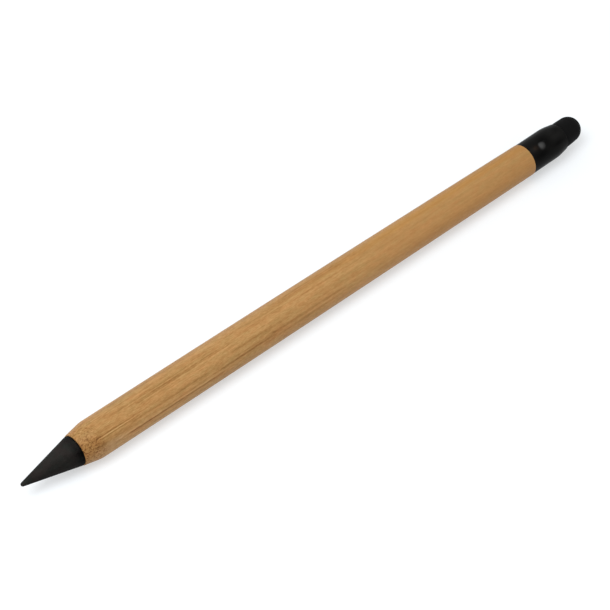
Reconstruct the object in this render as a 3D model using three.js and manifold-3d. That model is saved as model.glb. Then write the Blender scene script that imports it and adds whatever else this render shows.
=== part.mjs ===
// Inkless pencil: a bamboo barrel with a screw-in graphite nib, and an eraser held in a dimpled ferrule.
// Millimetres, +Z up. The pencil lies along X on the plane z = 0, with its nib towards -X.
// The origin is on that plane, under the middle of the pencil's length.
import * as THREE from 'three';
import { mergeVertices } from 'three/addons/utils/BufferGeometryUtils.js';
import Module from 'manifold-3d';

const wasm = await Module();
wasm.setup();

// Nib
const nibLength = 14.45;
const nibBaseRadius = 3.73;
const nibPointRadius = 0.52;
const nibEdge = 0.25;

// Screw joint: a plain stud at its thread's outer size, in an insert at its thread's outer size
const studRadius = 1.46;
const studAnchorLength = 5;
const studChamfer = 0.3;
const insertWall = 0.8;
const insertLength = 5;
const insertRecess = 0.15;
const insertBarbs = 4;
const insertBarbDepth = 0.16;
const insertMouthChamfer = 0.3;
const drillEnd = 0.8;

// Seat washer between the nib and the barrel
const washerThickness = 0.25;
const washerSetBack = 0.08;

// Barrel
const noseStep = 0.13;
const noseLength = 4.25;
const barrelLength = 140.76;
const barrelRadius = 4.68;
const barrelParallel = 20.7;
const barrelRearRadius = 4.22;
const taperBelly = 0.09;
const noseBlend = 0.8;
const barrelEdge = 0.08;
const tenonLength = 9.2;
const tenonEdge = 0.3;

// Ferrule
const ferruleLength = 12.39;
const ferruleStep = 0.07;
const ferruleWall = 0.3;
const ferruleStraight = 9.39;
const ferruleMouthRadius = 3.68;
const shoulderBlend = 1.2;

// Dimples that stake the ferrule to the barrel's tenon, pressed by a ball-nosed punch
const dimpleCount = 3;
const dimpleFromFront = 4.2;
const dimpleDepth = 0.35;
const punchRadius = 2.2;

// Eraser
const eraserProud = 7.24;
const eraserHeadRadius = 3.45;
const eraserBulge = 2.4;
const eraserDomeRadius = 3.3;

// Clearances: round pieces in each other, the running thread, and faces that meet end to end
const fit = 0.05;
const threadFit = 0.04;
const seatGap = 0.02;

// Facets round the barrel, few enough that it lies still on one, then round the other pieces
const barrelSides = 24;
const largeSides = 48;
const ferruleSides = 72;
const smallSides = 32;
const dimpleRow = 0.3;

// Places along the axis, from the nib's point
const washerStart = nibLength + seatGap;
const washerEnd = washerStart + washerThickness;
const noseFace = washerEnd + seatGap;
const insertStart = noseFace + insertRecess;
const insertEnd = insertStart + insertLength;
const barrelEnd = noseFace + barrelLength;
const tenonEnd = barrelEnd + tenonLength;
const ferruleStart = barrelEnd + seatGap;
const ferruleCorner = ferruleStart + ferruleStraight;
const ferruleMouth = ferruleStart + ferruleLength;
const dimplePlace = ferruleStart + dimpleFromFront;
const pencilLength = ferruleMouth + eraserProud;

// Radii that follow from the ones above
const noseRadius = nibBaseRadius + noseStep;
const insertBore = studRadius + threadFit;
const insertRadius = insertBore + insertWall;
const socketRadius = insertRadius + fit;
const ferruleRadius = barrelRearRadius - ferruleStep;
const tenonRadius = ferruleRadius - ferruleWall - fit;
const punchDistance = ferruleRadius - dimpleDepth + punchRadius;

// One point of a turned outline, at a distance along the axis and a radius
const point = (along, radius) => new THREE.Vector2(radius, along);

// Points that round a corner between two neighbours, starting and ending a given reach from it
function rounded(before, corner, after, reach, steps) {
  const legs = [before, after].map((end) => end.clone().sub(corner));
  const length = Math.min(reach, legs[0].length() / 2, legs[1].length() / 2);
  const [start, end] = legs.map((leg) => leg.setLength(length).add(corner));
  return new THREE.QuadraticBezierCurve(start, corner, end).getPoints(steps);
}

// Points of an arc in the plane of the outline, from one angle to another, 0 pointing along the axis
function arc(along, radius, size, from, to, steps) {
  const points = [];
  for (let i = 0; i <= steps; i += 1) {
    const angle = THREE.MathUtils.degToRad(from + ((to - from) * i) / steps);
    points.push(point(along + size * Math.cos(angle), radius + size * Math.sin(angle)));
  }
  return points;
}

// A turned piece along X, whose flats touch the true radius, with one flat facing straight down
function turned(outline, sides) {
  const cornerReach = 1 / Math.cos(Math.PI / sides);
  const points = outline.map((p) => new THREE.Vector2(p.x * cornerReach, p.y));
  const shape = new THREE.LatheGeometry(points, sides, Math.PI / sides);
  shape.rotateZ(-Math.PI / 2);
  shape.deleteAttribute('normal');
  shape.deleteAttribute('uv');
  return mergeVertices(shape, 1e-5);
}

// A closed geometry as a solid that can be cut
function solidOf(geometry) {
  const shape = geometry.clone();
  shape.deleteAttribute('normal');
  shape.deleteAttribute('uv');
  const merged = mergeVertices(shape, 1e-5);
  const index = merged.index.array;
  const triangles = [];
  for (let i = 0; i < index.length; i += 3) {
    const [a, b, c] = index.slice(i, i + 3);
    if (a !== b && b !== c && c !== a) triangles.push(a, b, c);
  }
  const vertProperties = Float32Array.from(merged.attributes.position.array);
  const triVerts = Uint32Array.from(triangles);
  return new wasm.Manifold(new wasm.Mesh({ numProp: 3, vertProperties, triVerts }));
}

function geometryOf(solid) {
  const { vertProperties, triVerts } = solid.getMesh();
  const shape = new THREE.BufferGeometry();
  shape.setAttribute('position', new THREE.BufferAttribute(vertProperties, 3));
  shape.setIndex(new THREE.BufferAttribute(triVerts, 1));
  return shape;
}

// The direction from the axis to each dimple, the first level with the axis
const dimpleDirections = Array.from({ length: dimpleCount }, (_, i) => {
  const angle = (2 * Math.PI * i) / dimpleCount;
  return new THREE.Vector2(Math.cos(angle), Math.sin(angle));
});

// How far from the axis a ball on the punch's centre lets a wall lie, at a place and direction
function ballLimit(ballRadius, along, direction, dimple) {
  const forward = direction.dot(dimple) * punchDistance;
  const sideways = direction.cross(dimple) * punchDistance;
  const rest = ballRadius ** 2 - (along - dimplePlace) ** 2 - sideways ** 2;
  return forward > 0 && rest > 0 ? forward - Math.sqrt(rest) : Infinity;
}

// Presses the dimples into a turned tube: its outer skin by the punch, its inner skin one wall further
function pressDimples(shape) {
  const place = shape.attributes.position;
  const middle = ferruleRadius - ferruleWall / 2;
  for (let i = 0; i < place.count; i += 1) {
    const direction = new THREE.Vector2(place.getY(i), place.getZ(i));
    const radius = direction.length();
    direction.normalize();
    const ball = radius > middle ? punchRadius : punchRadius + ferruleWall;
    const limits = dimpleDirections.map((d) => ballLimit(ball, place.getX(i), direction, d));
    direction.setLength(Math.min(radius, ...limits));
    place.setY(i, direction.x);
    place.setZ(i, direction.y);
  }
  return shape;
}

// Graphite cone with a ball point and a blind hole for the stud
function makeNib() {
  const fromBall = new THREE.Vector2(nibBaseRadius, nibLength - nibPointRadius);
  const slope = Math.atan2(fromBall.x, fromBall.y) - Math.asin(nibPointRadius / fromBall.length());
  const ball = arc(nibPointRadius, 0, nibPointRadius, 180, 90 + THREE.MathUtils.radToDeg(slope), 6);
  const holeRadius = studRadius + fit;
  const holeEnd = nibLength - studAnchorLength - seatGap;
  return turned([
    ...ball,
    ...rounded(ball.at(-1), point(nibLength, nibBaseRadius), point(nibLength, holeRadius), nibEdge, 3),
    point(nibLength, holeRadius),
    point(holeEnd, holeRadius),
    point(holeEnd - holeRadius / 2, 0),
  ], largeSides);
}

// Headless steel stud, half in the nib and half in the insert
function makeStud() {
  const start = nibLength - studAnchorLength;
  return turned([
    point(start, 0),
    point(start, studRadius - studChamfer),
    point(start + studChamfer, studRadius),
    point(insertEnd - studChamfer, studRadius),
    point(insertEnd, studRadius - studChamfer),
    point(insertEnd, 0),
  ], smallSides);
}

function makeWasher() {
  const inner = studRadius + fit;
  const outer = nibBaseRadius - washerSetBack;
  return turned([
    point(washerStart, inner),
    point(washerStart, outer),
    point(washerEnd, outer),
    point(washerEnd, inner),
    point(washerStart, inner),
  ], largeSides);
}

// Brass insert with saw-tooth barbs that bite into the barrel's socket
function makeInsert() {
  const barbLength = insertLength / (insertBarbs + 1);
  const barbs = [];
  for (let i = 1; i <= insertBarbs; i += 1) {
    const root = insertStart + i * barbLength;
    barbs.push(point(root, insertRadius - insertBarbDepth));
    barbs.push(point(root + insertBarbDepth, insertRadius));
  }
  const mouth = point(insertStart, insertBore + insertMouthChamfer);
  return turned([
    mouth,
    point(insertStart, insertRadius),
    ...barbs,
    point(insertEnd, insertRadius - insertBarbDepth),
    point(insertEnd, insertBore),
    point(insertStart + insertMouthChamfer, insertBore),
    mouth,
  ], smallSides);
}

// Bamboo barrel: nose cone, parallel grip, bellied taper, tenon with dimple pockets, stepped socket
function makeBarrel() {
  const noseEdge = point(noseFace, noseRadius);
  const shoulder = point(noseFace + noseLength, barrelRadius);
  const taperStart = point(shoulder.y + barrelParallel, barrelRadius);
  const rearEdge = point(barrelEnd, barrelRearRadius);
  const belly = taperStart.clone().lerp(rearEdge, 0.5).add(point(0, 2 * taperBelly));
  const taper = new THREE.QuadraticBezierCurve(taperStart, belly, rearEdge).getPoints(10);
  const tenonBack = point(tenonEnd, tenonRadius);
  const socketEnd = insertEnd + seatGap;
  const rod = turned([
    point(socketEnd + drillEnd + studRadius / 2, 0),
    point(socketEnd + drillEnd, studRadius + fit),
    point(socketEnd, studRadius + fit),
    point(socketEnd, socketRadius),
    point(noseFace, socketRadius),
    ...rounded(point(noseFace, socketRadius), noseEdge, shoulder, barrelEdge, 2),
    ...rounded(noseEdge, shoulder, taperStart, noseBlend, 5),
    ...taper.slice(0, -1),
    ...rounded(taper.at(-2), rearEdge, point(barrelEnd, tenonRadius), barrelEdge, 2),
    point(barrelEnd, tenonRadius),
    ...rounded(point(barrelEnd, tenonRadius), tenonBack, point(tenonEnd, 0), tenonEdge, 2),
    point(tenonEnd, 0),
  ], barrelSides);
  let solid = solidOf(rod);
  for (const direction of dimpleDirections) {
    const ball = new THREE.SphereGeometry(punchRadius + ferruleWall + fit, 40, 20);
    ball.translate(dimplePlace, direction.x * punchDistance, direction.y * punchDistance);
    solid = solid.subtract(solidOf(ball));
  }
  return geometryOf(solid);
}

// The ferrule's outline, from its straight tube in through the shoulder to its mouth
function ferruleOutline(inset) {
  const front = point(ferruleStart, ferruleRadius - inset);
  const corner = point(ferruleCorner, ferruleRadius - inset);
  const mouth = point(ferruleMouth - ferruleWall / 2, ferruleMouthRadius - inset);
  return [front, ...rounded(front, corner, mouth, shoulderBlend, 4), mouth];
}

// Adds evenly spaced rows to the straight tube of an outline, over the stretch that the dimples take
function withDimpleRows([front, ...shoulder]) {
  const reach = Math.sqrt(2 * (punchRadius + ferruleWall) * dimpleDepth) + dimpleRow;
  const rows = [];
  for (let along = dimplePlace - reach; along < dimplePlace + reach; along += dimpleRow) {
    if (along > front.y + dimpleRow / 2 && along < shoulder[0].y - dimpleRow / 2) {
      rows.push(point(along, front.x));
    }
  }
  return [front, ...rows, ...shoulder];
}

// Thin drawn tube, rolled in at its mouth, with the dimples pressed in
function makeFerrule() {
  const outer = withDimpleRows(ferruleOutline(0));
  const inner = withDimpleRows(ferruleOutline(ferruleWall));
  const half = ferruleWall / 2;
  const lip = arc(ferruleMouth - half, ferruleMouthRadius - half, half, 90, -90, 4).slice(1, -1);
  return pressDimples(turned([...outer, ...lip, ...inner.reverse(), outer[0]], ferruleSides));
}

// Rubber plug that fills the shoulder, is nipped at the mouth, bulges out behind it and ends in a dome
function makeEraser() {
  const back = tenonEnd + seatGap;
  const body = ferruleOutline(ferruleWall + fit).filter((p) => p.y > back);
  const neck = ferruleMouthRadius - ferruleWall - fit;
  const nipped = point(ferruleMouth, neck);
  const bulge = point(ferruleMouth + eraserBulge / 2, eraserHeadRadius);
  const domeStart = pencilLength - eraserDomeRadius;
  return turned([
    point(back, 0),
    point(back, body[0].x),
    ...body,
    nipped,
    ...rounded(nipped, bulge, point(domeStart, eraserDomeRadius), eraserBulge / 2, 6),
    ...arc(domeStart, 0, eraserDomeRadius, 90, 0, 9),
  ], largeSides);
}

// Finishes
const finishes = {
  graphite: { color: 0x2d2b28, roughness: 0.75, metalness: 0.15 },
  steel: { color: 0xb4b4b2, roughness: 0.3, metalness: 1 },
  blackPlastic: { color: 0x0c0c0c, roughness: 0.6, metalness: 0 },
  brass: { color: 0xc9a24f, roughness: 0.3, metalness: 1 },
  bamboo: { color: 0xbe915a, roughness: 0.6, metalness: 0 },
  blackAluminium: { color: 0x161616, roughness: 0.4, metalness: 0.5 },
  blackRubber: { color: 0x141414, roughness: 0.85, metalness: 0 },
};

// Names each piece and adds it to the pencil
function addPiece(group, name, geometry, finish) {
  const mesh = new THREE.Mesh(geometry, new THREE.MeshStandardMaterial(finish));
  mesh.name = name;
  group.add(mesh);
}

const pencil = new THREE.Group();
pencil.position.set(-pencilLength / 2, 0, barrelRadius);
addPiece(pencil, 'nib', makeNib(), finishes.graphite);
addPiece(pencil, 'nib_stud', makeStud(), finishes.steel);
addPiece(pencil, 'nib_washer', makeWasher(), finishes.blackPlastic);
addPiece(pencil, 'threaded_insert', makeInsert(), finishes.brass);
addPiece(pencil, 'barrel', makeBarrel(), finishes.bamboo);
addPiece(pencil, 'ferrule', makeFerrule(), finishes.blackAluminium);
addPiece(pencil, 'eraser', makeEraser(), finishes.blackRubber);

export default pencil;
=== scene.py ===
# Inkless pencil: a bamboo barrel, a screw-in graphite nib and a rubber eraser in a black ferrule.
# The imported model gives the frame. Sizes are in millimetres and become metres in the meshes.
import math

import bpy
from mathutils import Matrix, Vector


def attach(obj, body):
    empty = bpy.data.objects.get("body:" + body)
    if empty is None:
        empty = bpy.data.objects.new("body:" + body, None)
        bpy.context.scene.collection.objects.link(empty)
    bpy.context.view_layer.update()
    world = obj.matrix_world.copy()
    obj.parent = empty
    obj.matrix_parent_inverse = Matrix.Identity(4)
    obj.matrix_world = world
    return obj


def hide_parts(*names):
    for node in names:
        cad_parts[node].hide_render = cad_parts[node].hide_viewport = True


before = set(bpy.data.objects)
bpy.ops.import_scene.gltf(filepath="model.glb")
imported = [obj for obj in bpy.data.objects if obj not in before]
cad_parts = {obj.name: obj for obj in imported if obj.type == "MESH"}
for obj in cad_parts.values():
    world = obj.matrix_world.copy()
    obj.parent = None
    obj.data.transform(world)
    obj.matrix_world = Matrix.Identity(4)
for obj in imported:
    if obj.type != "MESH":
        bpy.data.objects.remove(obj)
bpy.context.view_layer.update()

MM = 0.001

# Corners nearer to each other than this, in metres, are merged
MERGE = 1e-7

# Nib
NIB_LENGTH = 14.45
NIB_BASE_RADIUS = 3.73
NIB_POINT_RADIUS = 0.52
NIB_EDGE = 0.25

# M3 thread of the stud and of the insert that it screws into, and its spare turns before a cut
PITCH = 0.5
FLANK = math.tan(math.radians(30))
SPARE_TURNS = 3
STUD_CREST = 1.46
STUD_ROOT = 1.17
STUD_FLAT = 0.06
STUD_ANCHOR = 5.0
TAP_CREST = 1.5
TAP_ROOT = 1.2
TAP_FLAT = 0.11
TAP_RUNOUT = 1.0

# Barbed insert
INSERT_BORE = 1.23
INSERT_RADIUS = 2.3
INSERT_LENGTH = 5.0
INSERT_RECESS = 0.15
INSERT_EDGE = 0.08
COUNTERSINK_RADIUS = 1.8
BARB_DEPTH = 0.16
BARBS = 4

# Seat washer
WASHER_THICKNESS = 0.25
WASHER_SET_BACK = 0.08
WASHER_EDGE = 0.06

# Barrel
NOSE_RADIUS = 3.86
NOSE_LENGTH = 4.25
NOSE_EDGE = 0.10
NOSE_BLEND = 0.8
SOCKET_EDGE = 0.06
DRILL_DEPTH = 0.8
BARREL_LENGTH = 140.76
BARREL_RADIUS = 4.68
BARREL_PARALLEL = 20.7
BARREL_REAR_RADIUS = 4.22
BARREL_REAR_EDGE = 0.08
TAPER_BELLY = 0.09
TENON_RADIUS = 3.8
TENON_LENGTH = 9.2
TENON_EDGE = 0.3

# Ferrule
FERRULE_RADIUS = 4.15
FERRULE_WALL = 0.3
FERRULE_STRAIGHT = 9.39
FERRULE_LENGTH = 12.39
MOUTH_RADIUS = 3.68
SHOULDER_BLEND = 1.2

# Dimples of the ferrule, and the rows of corners that they are pressed into
DIMPLES = 3
DIMPLE_FROM_FRONT = 4.2
DIMPLE_DEPTH = 0.35
DIMPLE_REACH = 1.3
DIMPLE_CENTRE = 0.05
PUNCH_RADIUS = 2.2
ROWS_EACH_WAY = 14
ROW_STEP = 0.12
ROW_FROM_FRONT = 0.05
ROW_FROM_SHOULDER = 0.02

# Eraser
ERASER_PROUD = 7.24
HEAD_RADIUS = 3.45
ERASER_BULGE = 2.4
DOME_RADIUS = 3.3

# Faces round the turned pieces, a turn of thread and a dimple's ball, and rows along the taper
NIB_SIDES = 144
WASHER_SIDES = 128
INSERT_SIDES = 96
BARREL_SIDES = 160
FERRULE_SIDES = 192
ERASER_SIDES = 144
THREAD_SIDES = 40
BALL_SIDES = 48
TAPER_ROWS = 32

# Directions across the pencil: up the side seen in the photo, and out towards that side
UP_SIDE = (0.81, 0.587)
OUT_SIDE = (-0.587, 0.809)

# Degrees by which the ferrule leans up that side, and by which the eraser leans on in its mouth
LEAN = 0.8
ERASER_LEAN = 2.2

# Clearances, and the places along the axis that follow, counted from the nib's point
FIT = 0.05
SEAT = 0.02
washer_start = NIB_LENGTH + SEAT
washer_end = washer_start + WASHER_THICKNESS
nose_face = washer_end + SEAT
insert_start = nose_face + INSERT_RECESS
insert_end = insert_start + INSERT_LENGTH
barrel_end = nose_face + BARREL_LENGTH
tenon_end = barrel_end + TENON_LENGTH
ferrule_start = barrel_end + SEAT
ferrule_corner = ferrule_start + FERRULE_STRAIGHT
ferrule_mouth = ferrule_start + FERRULE_LENGTH
dimple_place = ferrule_start + DIMPLE_FROM_FRONT
pencil_length = ferrule_mouth + ERASER_PROUD
axis_height = BARREL_RADIUS

# Colours of the finishes
WOOD_REDDISH = (0.472, 0.237, 0.080, 1)
WOOD_YELLOWISH = (0.424, 0.242, 0.082, 1)
WOOD_ORANGE = (0.470, 0.230, 0.055, 1)
WOOD_AMBER = (0.452, 0.216, 0.064, 1)
WOOD_PALE_PATCH = (0.430, 0.262, 0.125, 1)
GRAPHITE_COOL = (0.0160, 0.0168, 0.0150, 1)
GRAPHITE_WARM = (0.0196, 0.0168, 0.0155, 1)
STEEL_DULL = (0.42, 0.42, 0.41, 1)
STEEL_BRIGHT = (0.52, 0.52, 0.51, 1)
BRASS_BRIGHT = (0.62, 0.42, 0.13, 1)
BRASS_TARNISHED = (0.52, 0.33, 0.10, 1)
NYLON_DEEP = (0.0015, 0.0015, 0.0015, 1)
NYLON_DUSTY = (0.003, 0.003, 0.003, 1)
METAL_BLACK = (0.0046, 0.0046, 0.0045, 1)
METAL_WORN = (0.0052, 0.0050, 0.0046, 1)
METAL_BAMBOO_REFLECTION = (0.0130, 0.0090, 0.0068, 1)
RUBBER_BLACK = (0.0047, 0.0047, 0.0048, 1)
RUBBER_DUSTY = (0.0066, 0.0066, 0.0067, 1)
PAPER = (0.72, 0.72, 0.72, 1)
PAPER_SEEN = (0.545, 0.578, 0.606, 1)
WHITE = (1, 1, 1, 1)

# White floor and surround, in metres. Inside an ellipse round the pencil the floor is lifted the
# least, so that the shadow shows, and from WHITE_FROM times that ellipse on it is plain white.
TABLE_SIZE = 4.0
FLOOR_LIFT = 0.50
SHADOW_LENGTH = 0.16
SHADOW_WIDTH = 0.07
WHITE_FROM = 2.6
WORLD_LEVEL = 0.64

# Soft box, in metres and watts
LAMP_PLACE = (-0.32, -0.035, 0.60)
LAMP_SIZE = 0.43
LAMP_POWER = 2.3

# The photo's camera: its turn and height as angles, its place as a distance and two small shifts
CAMERA_TURN = math.radians(-42.216)
CAMERA_HEIGHT = math.radians(45.592)
CAMERA_DISTANCE = 508.9
CAMERA_RIGHT = -3.93
CAMERA_UP = -0.055
CAMERA_LENS = 127.8
CAMERA_SENSOR = 36
CAMERA_CLIP = 0.01


# A point of an outline, above the pencil's axis, in metres
def place(along, radius):
    return Vector((along - pencil_length / 2, 0, axis_height + radius)) * MM


# Points of a curve from one place to another, drawn towards a third
def curve(start, towards, end, steps):
    start, towards, end = (Vector(point) for point in (start, towards, end))
    points = []
    for i in range(steps + 1):
        f = i / steps
        points.append(tuple(start * (1 - f) ** 2 + towards * 2 * f * (1 - f) + end * f ** 2))
    return points


# Points that round the corner between two neighbours, reaching back along both legs
def rounded(before, corner, after, reach, steps):
    legs = []
    for end in (before, after):
        leg = Vector(end) - Vector(corner)
        leg.length = min(reach, leg.length / 2)
        legs.append(Vector(corner) + leg)
    return curve(legs[0], corner, legs[1], steps)


# Points of an arc round a centre on the outline's plane, from one angle to another
def arc(along, radius, size, start, end, steps):
    points = []
    for i in range(steps + 1):
        angle = math.radians(start + (end - start) * i / steps)
        points.append((along + size * math.cos(angle), radius + size * math.sin(angle)))
    return points


def active():
    return bpy.context.view_layer.objects.active


# Selects one piece alone and makes it the active one
def pick(piece):
    bpy.ops.object.select_all(action="DESELECT")
    bpy.context.view_layer.objects.active = piece
    piece.select_set(True)


# Selects the corners of the active piece that a rule picks, and leaves it in edit mode
def choose(rule):
    bpy.ops.object.mode_set(mode="EDIT")
    bpy.ops.mesh.select_mode(type="VERT")
    bpy.ops.mesh.select_all(action="DESELECT")
    bpy.ops.object.mode_set(mode="OBJECT")
    for corner in active().data.vertices:
        corner.select = rule(corner.co)
    bpy.ops.object.mode_set(mode="EDIT")


# Draws an outline point by point, starting from a plane that is merged to one corner
def draw(name, outline):
    bpy.ops.object.select_all(action="DESELECT")
    bpy.ops.mesh.primitive_plane_add(size=MM, enter_editmode=True)
    active().name = name
    bpy.ops.mesh.merge(type="CENTER")
    bpy.ops.transform.translate(value=place(*outline[0]))
    for here, after in zip(outline, outline[1:]):
        step = place(*after) - place(*here)
        bpy.ops.mesh.extrude_region_move(TRANSFORM_OT_translate={"value": step})


# Merges doubled corners, turns the faces of a closed shell outwards and leaves edit mode
def clean():
    bpy.ops.mesh.select_all(action="SELECT")
    bpy.ops.mesh.remove_doubles(threshold=MERGE)
    bpy.ops.mesh.normals_make_consistent(inside=False)
    bpy.ops.object.mode_set(mode="OBJECT")


# A piece turned about the pencil's axis
def turned(name, outline, sides):
    draw(name, outline)
    bpy.ops.mesh.select_all(action="SELECT")
    centre = (0, 0, axis_height * MM)
    bpy.ops.mesh.spin(steps=sides, angle=2 * math.pi, center=centre, axis=(1, 0, 0))
    clean()
    return active()


# A threaded rod: one pitch of its profile, screwed along and cut to length. The cut leaves its
# two ends ragged by about 0.1 mm and not closed
def threaded(name, start, end, crest, root, flat):
    half = flat / 2 + (crest - root) * FLANK
    profile = [(-PITCH / 2, root), (-half, root), (-flat / 2, crest)]
    profile += [(-along, radius) for along, radius in reversed(profile)]
    draw(name, [(pencil_length / 2 + along, radius - axis_height) for along, radius in profile])
    bpy.ops.object.mode_set(mode="OBJECT")
    rod = active()
    screw = rod.modifiers.new("thread", "SCREW")
    screw.axis = "X"
    screw.steps = screw.render_steps = THREAD_SIDES
    screw.iterations = math.ceil((end - start) / PITCH) + SPARE_TURNS
    screw.screw_offset = PITCH * MM
    screw.use_merge_vertices = True
    screw.merge_threshold = MERGE
    bpy.ops.object.modifier_apply(modifier="thread")
    bpy.ops.object.mode_set(mode="EDIT")
    bpy.ops.mesh.select_all(action="SELECT")
    bpy.ops.transform.translate(value=place(start - (SPARE_TURNS - 1) * PITCH, 0))
    for along, outwards in ((start, -1), (end, 1)):
        bpy.ops.mesh.select_all(action="SELECT")
        bpy.ops.mesh.bisect(
            plane_co=place(along, 0), plane_no=(outwards, 0, 0), use_fill=True, clear_outer=True
        )
    clean()
    return rod


# Cuts a piece with a tool, which is then thrown away
def cut(piece, tool):
    pick(piece)
    trim = piece.modifiers.new("cut", "BOOLEAN")
    trim.operation = "DIFFERENCE"
    trim.solver = "EXACT"
    trim.object = tool
    bpy.ops.object.modifier_apply(modifier="cut")
    bpy.data.objects.remove(tool)


# Leans what lies behind a place on the axis a little, as the photo's ferrule and eraser do
def lean(piece, along, angle):
    pick(piece)
    pivot = place(along, 0)
    hair = 0.001 * MM
    choose(lambda corner: corner.x > pivot.x + hair)
    for axis, share in (("Z", -angle * UP_SIDE[0]), ("Y", angle * UP_SIDE[1])):
        turn = math.radians(share)
        bpy.ops.transform.rotate(value=turn, orient_axis=axis, center_override=pivot)
    bpy.ops.object.mode_set(mode="OBJECT")


# Smooths a piece, gives it its finish and hangs it on its body in place of the plain node
def finished(piece, material, node, body, angle=30):
    pick(piece)
    bpy.ops.object.shade_smooth_by_angle(angle=math.radians(angle))
    piece.data.materials.clear()
    piece.data.materials.append(material)
    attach(piece, body)
    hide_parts(node)


# A number that changes over a surface: arithmetic on it adds the Math nodes
class Amount:
    def __init__(self, graph, socket):
        self.graph = graph
        self.socket = socket

    def math(self, operation, first, second):
        values = {0: first, 1: second}
        return self.graph.node("ShaderNodeMath", {"operation": operation}, values).amount()

    def __add__(self, other):
        return self.math("ADD", self, other)

    def __sub__(self, other):
        return self.math("SUBTRACT", self, other)

    def __rsub__(self, other):
        return self.math("SUBTRACT", other, self)

    def __mul__(self, other):
        return self.math("MULTIPLY", self, other)

    def __truediv__(self, other):
        return self.math("DIVIDE", self, other)

    def __rtruediv__(self, other):
        return self.math("DIVIDE", other, self)

    def __pow__(self, other):
        return self.math("POWER", self, other)

    __radd__ = __add__
    __rmul__ = __mul__

    # The larger of this number and another
    def or_more(self, other):
        return self.math("MAXIMUM", self, other)

    # Runs smoothly from 0 to 1 while this number goes from one value to another
    def rise(self, low, high):
        values = {"Value": self, "From Min": low, "From Max": high}
        settings = {"interpolation_type": "SMOOTHSTEP"}
        return self.graph.node("ShaderNodeMapRange", settings, values).amount("Result")


# A node that has been made, with its outputs as amounts or as plain sockets
class Made:
    def __init__(self, graph, node):
        self.graph = graph
        self.node = node

    def amount(self, name=0):
        return Amount(self.graph, self.node.outputs[name])

    def out(self, name=0):
        return self.node.outputs[name]


# The nodes of a material or of the world
class Graph:
    def __init__(self, owner):
        owner.use_nodes = True
        self.tree = owner.node_tree
        self.tree.nodes.clear()

    # Makes a node from its type, its settings and the values or links of its sockets
    def node(self, kind, settings, values):
        made = self.tree.nodes.new(kind)
        for key, value in settings.items():
            setattr(made, key, value)
        for key, value in values.items():
            self.feed(made.inputs[key], value)
        return Made(self, made)

    def feed(self, socket, value):
        if isinstance(value, Amount):
            value = value.socket
        if isinstance(value, bpy.types.NodeSocket):
            self.tree.links.new(value, socket)
        else:
            socket.default_value = value

    # 1 for what is seen by the eye, in gloss or through glass, and 0 for light that bounces
    def seen(self):
        path = self.node("ShaderNodeLightPath", {}, {})
        seen = path.amount("Is Camera Ray")
        for ray in ("Is Glossy Ray", "Is Transmission Ray"):
            seen = seen.or_more(path.amount(ray))
        return seen


# The nodes of one finish, with its coordinates in millimetres from the pencil's axis and middle
class Finish(Graph):
    def __init__(self, name):
        self.material = bpy.data.materials.new(name)
        super().__init__(self.material)
        self.shader = self.node("ShaderNodeBsdfPrincipled", {}, {})
        self.node("ShaderNodeOutputMaterial", {}, {"Surface": self.shader.out("BSDF")})
        values = {
            "Vector": self.node("ShaderNodeTexCoord", {}, {}).out("Object"),
            "Location": (0, 0, -axis_height),
            "Scale": (1 / MM, 1 / MM, 1 / MM),
        }
        self.place = self.node("ShaderNodeMapping", {}, values).out("Vector")
        split = self.node("ShaderNodeSeparateXYZ", {}, {"Vector": self.place})
        self.x, self.y, self.z = (split.amount(i) for i in range(3))

    # How far a point lies in a direction across the pencil
    def side(self, direction):
        return self.y * direction[0] + self.z * direction[1]

    # Soft noise around 0.5: the sizes of its grains along and across the pencil, its octaves, and a
    # shift that sets it apart from the others
    def noise(self, along, across, detail, shift):
        values = {
            "Vector": self.place,
            "Location": (shift, shift, shift),
            "Scale": (1 / along, 1 / across, 1 / across),
        }
        stretched = self.node("ShaderNodeMapping", {}, values).out("Vector")
        values = {"Vector": stretched, "Scale": 1.0, "Detail": detail}
        return self.node("ShaderNodeTexNoise", {}, values).amount()

    def mix(self, amount, first, second):
        picked = {0: amount, 6: first, 7: second}
        return self.node("ShaderNodeMix", {"data_type": "RGBA"}, picked).out(2)

    # Multiplies a colour by an amount, whose powers for green and blue can warm what gets darker
    def shaded(self, colour, amount, green=1.0, blue=1.0):
        parts = {0: amount, 1: amount ** green, 2: amount ** blue}
        values = {0: colour, 1: self.node("ShaderNodeCombineXYZ", {}, parts).out()}
        return self.node("ShaderNodeVectorMath", {"operation": "MULTIPLY"}, values).out()

    # A soft-edged patch: 1 in its middle, falling away at its reaches along and across
    def spot(self, along, across, length, width):
        from_middle = (along / length) * (along / length) + (across / width) * (across / width)
        return 1 / (1 + from_middle * from_middle)

    # A soft-edged band along the pencil: 1 in its middle, falling away at its reach across
    def band(self, across, width):
        off = across / width
        return 1 / (1 + off * off * off * off)

    def set(self, **values):
        for key, value in values.items():
            self.feed(self.shader.node.inputs[key.replace("_", " ")], value)

    # Relief of a height given in millimetres
    def relief(self, height):
        values = {"Height": height * MM, "Strength": 1.0, "Distance": 1.0}
        self.set(Normal=self.node("ShaderNodeBump", {}, values).out())


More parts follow.
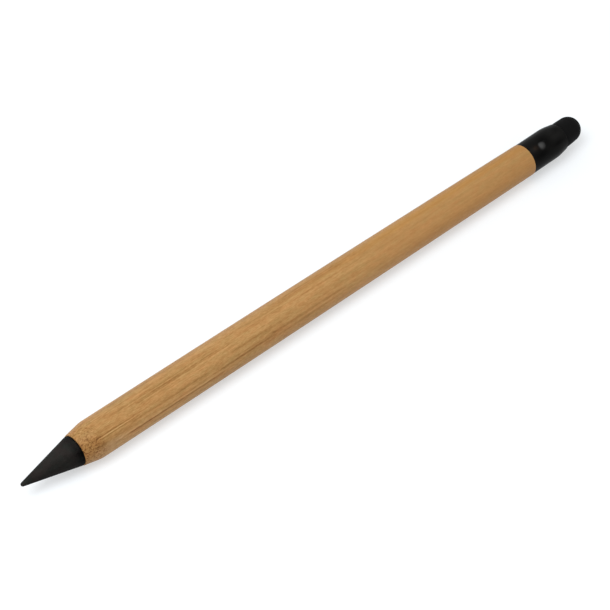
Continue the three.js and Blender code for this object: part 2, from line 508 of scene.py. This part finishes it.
# Single lines of grain on the side towards the photo: height up the side, start and end along the
# pencil, half width and gain in tone
GRAIN_LINES = (
    (-0.84, -68.1, -58.2, 0.10, 0.24),
    (-0.58, -68.4, -59.4, 0.11, -0.24),
    (-1.10, -68.2, -57.0, 0.11, -0.22),
    (-1.97, -69.0, -59.8, 0.42, -0.15),
    (-3.35, -61.6, -34.0, 0.13, -0.28),
    (-3.04, -65.0, -34.2, 0.13, 0.14),
    (1.24, -56.9, -25.6, 0.12, -0.15),
    (-1.60, -59.7, -35.6, 0.14, -0.16),
    (-2.76, -51.9, -36.8, 0.12, -0.12),
    (-0.65, -30.7, -15.0, 0.20, -0.13),
    (-2.56, -34.4, -17.2, 0.16, -0.18),
    (-1.98, -27.0, -17.4, 0.13, -0.12),
    (-1.97, -19.4, 4.6, 0.26, -0.13),
    (3.46, -70.2, -26.9, 0.22, 0.09),
    (2.83, -67.0, -59.0, 0.12, -0.12),
    (2.06, -63.9, -44.8, 0.12, -0.10),
    (0.45, -47.4, -17.6, 0.70, 0.05),
    (0.95, -17.6, 14.2, 0.60, 0.04),
    (0.35, -68.2, -54.6, 0.12, -0.12),
    (2.17, -12.2, 9.0, 0.30, 0.05),
)
LINE_STRENGTH = 1.2

# A line comes in over this length either side of its start, and goes out before and after its end
LINE_START = 0.8
LINE_BEFORE_END = 5
LINE_AFTER_END = 3


def bamboo():
    f = Finish("bamboo_oiled")
    up = f.side(UP_SIDE)
    towards = f.side(OUT_SIDE).rise(0.0, 0.6)
    rear = f.x.rise(-25, 35)
    nose = 1 - f.x.rise(-69.6, -66.4)

    # Vascular bundles: spindles that run with the grain and wander a little
    spindle, spacing = 46, 0.62
    wander = (f.noise(28, 9, 1.0, 3.0) - 0.5) * 0.9
    cells = {0: f.x / spindle, 1: (f.y + wander) / spacing, 2: (f.z + wander) / spacing}
    bent = f.node("ShaderNodeCombineXYZ", {}, cells).out()
    cell = f.node("ShaderNodeTexVoronoi", {}, {"Vector": bent, "Scale": 1.0})
    core = 1 - cell.amount("Distance").rise(0.12, 0.52)
    picked = f.node("ShaderNodeSeparateXYZ", {}, {"Vector": cell.out("Color")}).amount(0)
    bundles = core * picked.rise(0.25, 0.9)

    # Fibres, short flecks, streaks, soft mottling and slow changes of tone, all fainter at the rear
    fibre = f.noise(9, 0.16, 3.0, 11.0) - 0.5
    fleck = f.noise(0.9, 0.2, 2.0, 17.0) - 0.5
    streak = f.noise(34, 0.42, 2.0, 23.0) - 0.5
    mottle = f.noise(2.8, 0.7, 2.0, 37.0) - 0.5
    slow = f.noise(30, 3.4, 1.0, 51.0) - 0.5
    tone = 1.0 + fibre * (0.34 - rear * 0.22) + streak * (0.34 - rear * 0.2)
    tone = tone + mottle * (0.4 - rear * 0.2) + slow * 0.2
    tone = tone + fleck * (0.68 - rear * 0.46) - bundles * (0.16 - rear * 0.08)

    # On the turned nose the bundles are cut short, to dark dots, which lie closest low on its side.
    # The nose is also painted darker low on its side as shade.
    dots = f.noise(0.50, 0.30, 2.0, 83.0).rise(0.48, 0.64)
    painted_nose_shade = f.spot(nose - 1, up + 1.8, 1.0, 2.4)
    sparks = f.noise(0.5, 0.28, 2.0, 97.0).rise(0.54, 0.68)
    tone = tone - nose * (painted_nose_shade * 0.25 + dots * (0.22 + painted_nose_shade * 0.22) - sparks * 0.20)
    tone = tone - f.x.rise(15, 75) * 0.06

    for height, start, end, half, gain in GRAIN_LINES:
        begun = f.x.rise(start - LINE_START, start + LINE_START)
        reach = begun * (1 - f.x.rise(end - LINE_BEFORE_END, end + LINE_AFTER_END))
        line = f.band(up - height, half) * reach * towards
        tone = tone + line * (gain * LINE_STRENGTH)

    # Patches of redder and of yellower wood, warm bands painted as light along the upper and lower
    # edges that grow towards the rear, and a pale greyish patch low by the nose
    broad = (f.noise(22, 2.2, 2.0, 71.0) - 0.5) * 1.1
    small = (f.noise(3.0, 1.0, 2.0, 61.0) - 0.5) * 2.0
    colour = f.mix(broad + small + 0.5, WOOD_REDDISH, WOOD_YELLOWISH)
    # Painted light: warm bands where light rims the upper and lower edges
    above = f.band(up - 3.15, 0.8) * f.x.rise(-30, 40) * 0.75
    colour = f.mix(above, colour, WOOD_ORANGE)
    below = f.band(up + 2.6, 1.5) * f.x.rise(-10, 45) * 0.55
    colour = f.mix(below, colour, WOOD_AMBER)
    # A pale greyish patch low on the seen side by the nose
    pale_patch = f.spot(f.x + 66.6, up + 3.2, 3.6, 0.8) * towards * 0.6
    colour = f.mix(pale_patch, colour, WOOD_PALE_PATCH)
    f.set(Base_Color=f.shaded(colour, tone, green=1.3, blue=1.9), Roughness=0.5 + fibre * 0.2)
    f.set(Specular_IOR_Level=0.22)
    f.relief((fibre * 0.012 + streak * 0.012) - bundles * 0.006)
    return f.material


def graphite():
    f = Finish("graphite_turned")
    rings = f.noise(0.16, 30, 2.0, 5.0) - 0.5
    smear = f.noise(2.2, 1.5, 3.0, 9.0) - 0.5
    grain = f.noise(0.22, 0.2, 2.0, 13.0) - 0.5

    # The seen side is painted lighter above as a sheen of light, fading again near its top; the
    # point is worn smoother by use and painted lighter as its reflection; and the rim is painted
    # darker as shade
    up = f.side(UP_SIDE)
    sheen_and_wear = up.rise(-1.6, 1.4) - up.rise(1.5, 3.2) * 0.35
    point = 1 - f.x.rise(-87.0, -84.6)
    rim = f.x.rise(-75.4, -73.6)
    tone = 0.66 + sheen_and_wear * 0.60 - rim * 0.5 + rings * 0.25
    tone = tone + smear + grain * 0.9 + point * 0.25
    patch = f.noise(2.4, 1.9, 1.0, 25.0).rise(0.36, 0.64)
    colour = f.mix(patch, GRAPHITE_COOL, GRAPHITE_WARM)
    f.set(Base_Color=f.shaded(colour, tone), Roughness=0.62 + smear * 0.2 - point * 0.12)
    f.set(Specular_IOR_Level=0.03)
    f.relief(rings * 0.012 + grain * 0.006 + smear * 0.01)
    return f.material


def steel():
    f = Finish("steel_rolled_thread")
    scratch = f.noise(0.3, 0.08, 2.0, 2.0) - 0.5
    colour = f.mix(scratch + 0.5, STEEL_DULL, STEEL_BRIGHT)
    f.set(Base_Color=colour, Metallic=1.0, Roughness=0.3 + scratch * 0.2)
    f.relief(scratch * 0.002)
    return f.material


def brass():
    f = Finish("brass_turned")
    rings = f.noise(0.08, 1.2, 2.0, 4.0) - 0.5
    tarnish = f.noise(0.8, 0.8, 3.0, 8.0) - 0.5
    colour = f.mix(tarnish + 0.5, BRASS_BRIGHT, BRASS_TARNISHED)
    f.set(Base_Color=colour, Metallic=1.0, Roughness=0.32 + tarnish * 0.25)
    f.relief(rings * 0.002)
    return f.material


def washer_nylon():
    f = Finish("washer_nylon")
    grain = f.noise(0.2, 0.2, 2.0, 6.0) - 0.5
    colour = f.mix(grain + 0.5, NYLON_DEEP, NYLON_DUSTY)
    f.set(Base_Color=colour, Specular_IOR_Level=0.05, Roughness=0.6 + grain * 0.2)
    f.relief(grain * 0.003)
    return f.material


# Patches of painted light and shade on the ferrule's seen side: highlights, and the shade by its
# shoulder and dimple. Place along from the dimple, height up the side, reaches along and across,
# and gain in tone
FERRULE_LIGHT_AND_SHADE = (
    (5.2, 0.7, 2.0, 0.7, 0.85),
    (4.1, 2.3, 1.0, 0.8, 0.60),
    (6.6, 2.6, 0.9, 0.8, -0.85),
    (5.3, -1.1, 2.3, 0.5, -0.75),
    (-1.6, -1.5, 2.2, 0.9, -0.75),
    (-3.1, 0.8, 0.9, 0.7, 1.3),
    (1.4, 1.5, 1.3, 1.1, -0.6),
)


def ferrule_black():
    f = Finish("black_satin_metal")
    up = f.side(UP_SIDE)
    towards = f.side(OUT_SIDE).rise(0.0, 1.5)
    along = f.x - (dimple_place - pencil_length / 2)
    drawn_marks = f.noise(6.0, 0.10, 2.0, 15.0) - 0.5
    cloud = f.noise(2.4, 1.6, 2.0, 19.0) - 0.5
    grain = f.noise(0.12, 0.12, 1.0, 29.0) - 0.5
    tone = 1.0 + cloud * 0.5 + grain * 0.3 + along.rise(1.0, 5.0) * 0.2
    # Painted highlights and painted shade, on the seen side only
    for centre, height, length, width, gain in FERRULE_LIGHT_AND_SHADE:
        tone = tone + f.spot(along - centre, up - height, length, width) * towards * gain

    # The punch has polished the floor of each dimple, which lies nearer the axis than the tube. On
    # the side towards the photo the polish climbs further up that side and fades further down.
    above = up.rise(0.2, 1.2) * (1 - up.rise(1.4, 2.1)) * towards
    below = (1 - up.rise(-1.1, 0.5)) * towards
    radius = (f.y * f.y + f.z * f.z) ** 0.5 - above * 0.12
    off = along - 0.4
    floor = (1 - radius.rise(3.70, 4.10)) * (1 - (off * off).rise(0.4, 2.4)) * (1 - below)
    colour = f.mix(cloud + 0.5, METAL_BLACK, METAL_WORN)
    # A painted reflection of the bamboo, brownish, beside the dimple
    bamboo_reflection = f.spot(along + 1.9, up - 0.9, 0.7, 0.6) * towards
    colour = f.mix(bamboo_reflection, colour, METAL_BAMBOO_REFLECTION)
    f.set(Base_Color=f.shaded(colour, tone), Roughness=0.34 + cloud * 0.14 + drawn_marks * 0.06)
    f.set(Specular_IOR_Level=0.028, Coat_Weight=floor, Coat_IOR=1.66, Coat_Roughness=0.37)
    f.relief(drawn_marks * 0.0012 + grain * 0.0015 + cloud * 0.008)
    return f.material


def eraser_rubber():
    f = Finish("black_rubber")
    grain = f.noise(0.16, 0.16, 3.0, 33.0) - 0.5
    patch = f.noise(2.2, 2.2, 2.0, 41.0) - 0.5
    sheen_and_wear = f.x.rise(83.5, 87.5)
    colour = f.mix(patch * 1.2 + 0.5, RUBBER_BLACK, RUBBER_DUSTY)
    tone = 1.0 + grain * 0.3 + sheen_and_wear * 0.12
    f.set(Base_Color=f.shaded(colour, tone), Roughness=0.62 + patch * 0.2 + sheen_and_wear * 0.08)
    f.set(Specular_IOR_Level=0.035)
    f.relief(grain * 0.007 + patch * 0.02)
    return f.material


# Graphite cone with a ball point and a blind hole for the stud
def make_nib():
    run = NIB_LENGTH - NIB_POINT_RADIUS
    slope = math.atan2(NIB_BASE_RADIUS, run)
    slope -= math.asin(NIB_POINT_RADIUS / math.hypot(NIB_BASE_RADIUS, run))
    ball = arc(NIB_POINT_RADIUS, 0, NIB_POINT_RADIUS, 180, 90 + math.degrees(slope), steps=14)
    hole = STUD_CREST + FIT
    rim, mouth = (NIB_LENGTH, NIB_BASE_RADIUS), (NIB_LENGTH, hole)
    back = NIB_LENGTH - STUD_ANCHOR - SEAT
    outline = ball + rounded(ball[-1], rim, mouth, NIB_EDGE, steps=6)
    outline += [mouth, (back, hole), (back - hole / 2, 0)]
    cone = turned("graphite_nib", outline, NIB_SIDES)
    finished(cone, graphite(), "nib", "nib")


# Threaded stud, with a known fault: its ends aren't closed and its faces point inwards
def make_stud():
    start = NIB_LENGTH - STUD_ANCHOR
    rod = threaded("steel_stud", start, insert_end, STUD_CREST, STUD_ROOT, STUD_FLAT)
    finished(rod, steel(), "nib_stud", "nib", angle=20)


# Thin washer with softened rims
def make_washer():
    inner = STUD_CREST + FIT
    outer = NIB_BASE_RADIUS - WASHER_SET_BACK
    front = [(washer_start, inner), (washer_start, outer)]
    corners = front + [(washer_end, outer), (washer_end, inner)]
    outline = []
    for i in range(4):
        after = corners[(i + 1) % 4]
        outline += rounded(corners[i - 1], corners[i], after, WASHER_EDGE, steps=4)
    outline.append(outline[0])
    ring = turned("seat_washer", outline, WASHER_SIDES)
    finished(ring, washer_nylon(), "nib_washer", "washer")


# Barbed brass insert, countersunk, bored and then tapped in step with the stud's thread
def make_insert():
    barbs = []
    for i in range(1, BARBS + 1):
        root = insert_start + i * INSERT_LENGTH / (BARBS + 1)
        barbs += [(root, INSERT_RADIUS - BARB_DEPTH), (root + BARB_DEPTH, INSERT_RADIUS)]
    mouth = (insert_start, COUNTERSINK_RADIUS)
    rim = rounded(mouth, (insert_start, INSERT_RADIUS), barbs[0], INSERT_EDGE, steps=4)
    back = [(insert_end, INSERT_RADIUS - BARB_DEPTH), (insert_end, INSERT_BORE)]
    bore = [(insert_start + COUNTERSINK_RADIUS - INSERT_BORE, INSERT_BORE), mouth]
    body = turned("brass_insert", [mouth] + rim + barbs + back + bore, INSERT_SIDES)
    stud_start = NIB_LENGTH - STUD_ANCHOR
    turns = round((insert_start - stud_start) / PITCH) - 1
    tap_start = stud_start + turns * PITCH
    cut(body, threaded("tap", tap_start, insert_end + TAP_RUNOUT, TAP_CREST, TAP_ROOT, TAP_FLAT))
    finished(body, brass(), "threaded_insert", "barrel", angle=20)


# The direction from the axis to each dimple
def dimple_directions():
    angles = [2 * math.pi * i / DIMPLES for i in range(DIMPLES)]
    return [Vector((0, math.cos(a), math.sin(a))) for a in angles]


# Bamboo rod: stepped socket, nose cone, parallel grip, bellied taper and a tenon with pockets
def make_barrel():
    hole = STUD_CREST + FIT
    socket = INSERT_RADIUS + FIT
    floor = insert_end + SEAT
    drilled = floor + DRILL_DEPTH
    mouth = (nose_face, socket)
    nose = (nose_face, NOSE_RADIUS)
    shoulder = (nose_face + NOSE_LENGTH, BARREL_RADIUS)
    taper_start = Vector((shoulder[0] + BARREL_PARALLEL, BARREL_RADIUS))
    rear = Vector((barrel_end, BARREL_REAR_RADIUS))
    belly = (taper_start + rear) / 2 + Vector((0, 2 * TAPER_BELLY))
    taper = curve(taper_start, belly, rear, TAPER_ROWS)
    tenon_foot, tenon_top = (barrel_end, TENON_RADIUS), (tenon_end, TENON_RADIUS)
    outline = [(drilled + hole / 2, 0), (drilled, hole), (floor, hole), (floor, socket)]
    outline += rounded((floor, socket), mouth, nose, SOCKET_EDGE, steps=3)
    outline += rounded(mouth, nose, shoulder, NOSE_EDGE, steps=5)
    outline += rounded(nose, shoulder, tuple(taper_start), NOSE_BLEND, steps=14)
    outline += taper[:-1]
    outline += rounded(taper[-2], taper[-1], tenon_foot, BARREL_REAR_EDGE, steps=5)
    outline.append(tenon_foot)
    outline += rounded(tenon_foot, tenon_top, (tenon_end, 0), TENON_EDGE, steps=4)
    outline.append((tenon_end, 0))
    rod = turned("bamboo_barrel", outline, BARREL_SIDES)
    reach = FERRULE_RADIUS - DIMPLE_DEPTH + PUNCH_RADIUS
    size = (PUNCH_RADIUS + FERRULE_WALL + FIT) * MM
    for direction in dimple_directions():
        centre = place(dimple_place, 0) + direction * reach * MM
        bpy.ops.object.select_all(action="DESELECT")
        bpy.ops.mesh.primitive_uv_sphere_add(
            segments=BALL_SIDES, ring_count=BALL_SIDES // 2, radius=size, location=centre
        )
        cut(rod, active())
    lean(rod, barrel_end, LEAN)
    finished(rod, bamboo(), "barrel", "barrel")


# The ferrule's outline, from its straight tube in through the shoulder to its mouth
def ferrule_outline(inset):
    front = (ferrule_start, FERRULE_RADIUS - inset)
    corner = (ferrule_corner, FERRULE_RADIUS - inset)
    mouth = (ferrule_mouth - FERRULE_WALL / 2, MOUTH_RADIUS - inset)
    return [front] + rounded(front, corner, mouth, SHOULDER_BLEND, steps=10) + [mouth]


# Evenly spaced rows over the stretch of the tube that the dimples take
def dimple_rows(outline):
    front, shoulder = outline[0], outline[1:]
    first, last = front[0] + ROW_FROM_FRONT, shoulder[0][0] - ROW_FROM_SHOULDER
    rows = []
    for i in range(-ROWS_EACH_WAY, ROWS_EACH_WAY + 1):
        along = dimple_place + i * ROW_STEP
        if first < along < last:
            rows.append((along, front[1]))
    return [front] + rows + shoulder


# Presses a dimple into both skins of the tube
def press(direction):
    target = place(dimple_place, 0) + direction * FERRULE_RADIUS * MM
    choose(lambda corner: (corner - target).length < DIMPLE_CENTRE * MM)
    bpy.ops.transform.translate(
        value=direction * -DIMPLE_DEPTH * MM,
        use_proportional_edit=True,
        proportional_edit_falloff="INVERSE_SQUARE",
        proportional_size=DIMPLE_REACH * MM,
    )


# Thin drawn tube with a rounded lip, rolled in at its mouth
def make_ferrule():
    outer = dimple_rows(ferrule_outline(0))
    inner = dimple_rows(ferrule_outline(FERRULE_WALL))
    half = FERRULE_WALL / 2
    lip = arc(ferrule_mouth - half, MOUTH_RADIUS - half, half, 90, -90, steps=10)[1:-1]
    outline = outer + lip + inner[::-1] + [outer[0]]
    tube = turned("black_ferrule", outline, FERRULE_SIDES)
    for direction in dimple_directions():
        press(direction)
    bpy.ops.object.mode_set(mode="OBJECT")
    lean(tube, barrel_end, LEAN)
    finished(tube, ferrule_black(), "ferrule", "barrel")


# Rubber plug that fills the shoulder, is nipped at the mouth, bulges behind it and ends in a dome
def make_eraser():
    back = tenon_end + SEAT
    body = [p for p in ferrule_outline(FERRULE_WALL + FIT) if p[0] > back]
    nipped = (ferrule_mouth, MOUTH_RADIUS - FERRULE_WALL - FIT)
    bulge = (ferrule_mouth + ERASER_BULGE / 2, HEAD_RADIUS)
    dome = (pencil_length - DOME_RADIUS, DOME_RADIUS)
    outline = [(back, 0), (back, body[0][1])] + body + [nipped]
    outline += rounded(nipped, bulge, dome, ERASER_BULGE / 2, steps=12)
    outline += arc(dome[0], 0, DOME_RADIUS, 90, 0, steps=28)
    plug = turned("rubber_eraser", outline, ERASER_SIDES)
    lean(plug, ferrule_mouth - FERRULE_WALL, ERASER_LEAN)
    lean(plug, barrel_end, LEAN)
    finished(plug, eraser_rubber(), "eraser", "barrel", angle=40)


# White paper, plain for light that bounces, and lifted towards white where it is seen
def table_white():
    material = bpy.data.materials.new("table_white")
    graph = Graph(material)
    here = graph.node("ShaderNodeTexCoord", {}, {}).out("Object")
    values = {"Vector": here, "Scale": (1 / SHADOW_LENGTH, 1 / SHADOW_WIDTH, 0)}
    reach = graph.node("ShaderNodeMapping", {}, values).out("Vector")
    away = graph.node("ShaderNodeVectorMath", {"operation": "LENGTH"}, {0: reach}).out("Value")
    values = {
        "Value": away, "From Min": 1.0, "From Max": WHITE_FROM, "To Min": FLOOR_LIFT, "To Max": 1.0
    }
    fade = graph.node("ShaderNodeMapRange", {}, values).out("Result")
    lift = graph.node("ShaderNodeEmission", {}, {"Strength": fade}).out()
    paper, seen_paper = (
        graph.node("ShaderNodeBsdfDiffuse", {}, {"Color": colour}).out()
        for colour in (PAPER, PAPER_SEEN)
    )
    lifted = graph.node("ShaderNodeAddShader", {}, {0: seen_paper, 1: lift}).out()
    values = {0: graph.seen(), 1: paper, 2: lifted}
    surface = graph.node("ShaderNodeMixShader", {}, values).out()
    graph.node("ShaderNodeOutputMaterial", {}, {"Surface": surface})
    return material


def make_table():
    bpy.ops.object.select_all(action="DESELECT")
    bpy.ops.mesh.primitive_plane_add(size=TABLE_SIZE, location=(0, 0, 0))
    table = active()
    table.name = "table"
    table.data.materials.append(table_white())


# White surround for eye, gloss and glass, at a plain level for the light that it gives
def make_world():
    world = bpy.data.worlds.new("studio")
    bpy.context.scene.world = world
    graph = Graph(world)
    strength = graph.seen() * (1 - WORLD_LEVEL) + WORLD_LEVEL
    values = {"Color": WHITE, "Strength": strength}
    surround = graph.node("ShaderNodeBackground", {}, values).out()
    graph.node("ShaderNodeOutputWorld", {}, {"Surface": surround})


# A soft box that looks at the pencil's middle
def make_light():
    bpy.ops.object.light_add(type="AREA", location=LAMP_PLACE)
    lamp = active()
    lamp.name = "soft_box"
    lamp.data.shape = "DISK"
    lamp.data.size = LAMP_SIZE
    lamp.data.energy = LAMP_POWER
    lamp.rotation_euler = (-Vector(LAMP_PLACE)).to_track_quat("-Z", "Y").to_euler()


def make_camera():
    sine, cosine = math.sin(CAMERA_TURN), math.cos(CAMERA_TURN)
    level = math.cos(CAMERA_HEIGHT)
    right = Vector((cosine, sine, 0))
    back = Vector((sine * level, -cosine * level, math.sin(CAMERA_HEIGHT)))
    up = back.cross(right)
    position = back * CAMERA_DISTANCE + right * CAMERA_RIGHT + up * CAMERA_UP
    tilt = math.pi / 2 - CAMERA_HEIGHT
    bpy.ops.object.camera_add(location=position * MM, rotation=(tilt, 0, CAMERA_TURN))
    camera = active()
    camera.data.lens = CAMERA_LENS
    camera.data.sensor_width = CAMERA_SENSOR
    camera.data.clip_start = CAMERA_CLIP
    bpy.context.scene.camera = camera


make_nib()
make_stud()
make_washer()
make_insert()
make_barrel()
make_ferrule()
make_eraser()
make_table()
make_world()
make_light()
make_camera()
bpy.context.scene.view_settings.view_transform = "Standard"
